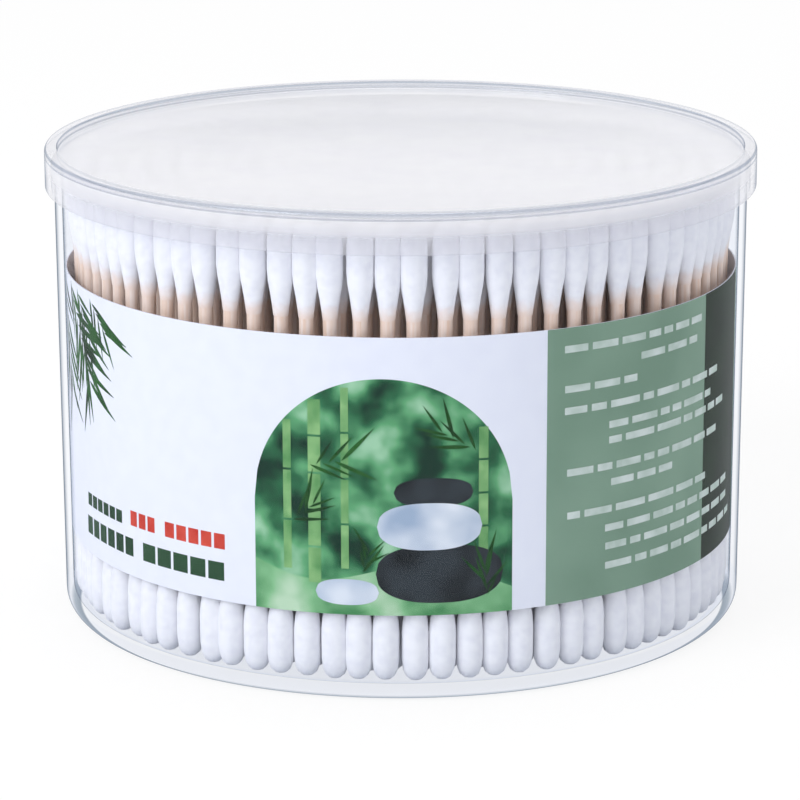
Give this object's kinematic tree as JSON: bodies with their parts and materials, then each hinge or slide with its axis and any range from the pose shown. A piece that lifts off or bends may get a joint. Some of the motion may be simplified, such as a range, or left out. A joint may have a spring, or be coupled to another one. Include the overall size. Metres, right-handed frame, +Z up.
{
  "type": "pack of cotton swabs",
  "caption": "Round clear tub with a press-on lid and a paper sleeve inside its wall, filled with upright double-ended bamboo cotton swabs.",
  "frame": {"origin": "middle of the tub's foot, on the surface that the pack stands on", "axes": "+Z up along the tub's axis; -Y is the front, and the sleeve's glued seam is at the back, +Y"},
  "size_m": [0.118, 0.118, 0.0785],
  "materials": {
    "tub_plastic": "clear moulded polystyrene, glossy",
    "lid_plastic": "slightly milky moulded polypropylene, glossy",
    "printed_paper": "coated paper, printed in pale grey, white and leaf green",
    "bamboo": "bare bamboo, fine straight grain",
    "cotton": "wound white cotton, matt and slightly fuzzy"
  },
  "bodies": {
    "filled_tub": {"label_sleeve": "printed_paper", "swab_ring_01_lower_tips": "cotton", "swab_ring_01_sticks": "bamboo", "swab_ring_01_upper_tips": "cotton", "swab_ring_02": "cotton", "swab_ring_03": "cotton", "swab_ring_04": "cotton", "swab_ring_05": "cotton", "swab_ring_06": "cotton", "swab_ring_07": "cotton", "swab_ring_08": "cotton", "swab_ring_09": "cotton", "swab_ring_10": "cotton", "swab_ring_11": "cotton", "swab_ring_12": "cotton", "swab_ring_13": "cotton", "tub": "tub_plastic"},
    "lid": {"lid": "lid_plastic"}
  },
  "joints": [
    {"name": "lid_lift", "type": "slide", "parent": "filled_tub", "child": "lid", "axis": [0, 0, 1], "range_m": [0, 0.04]}
  ]
}
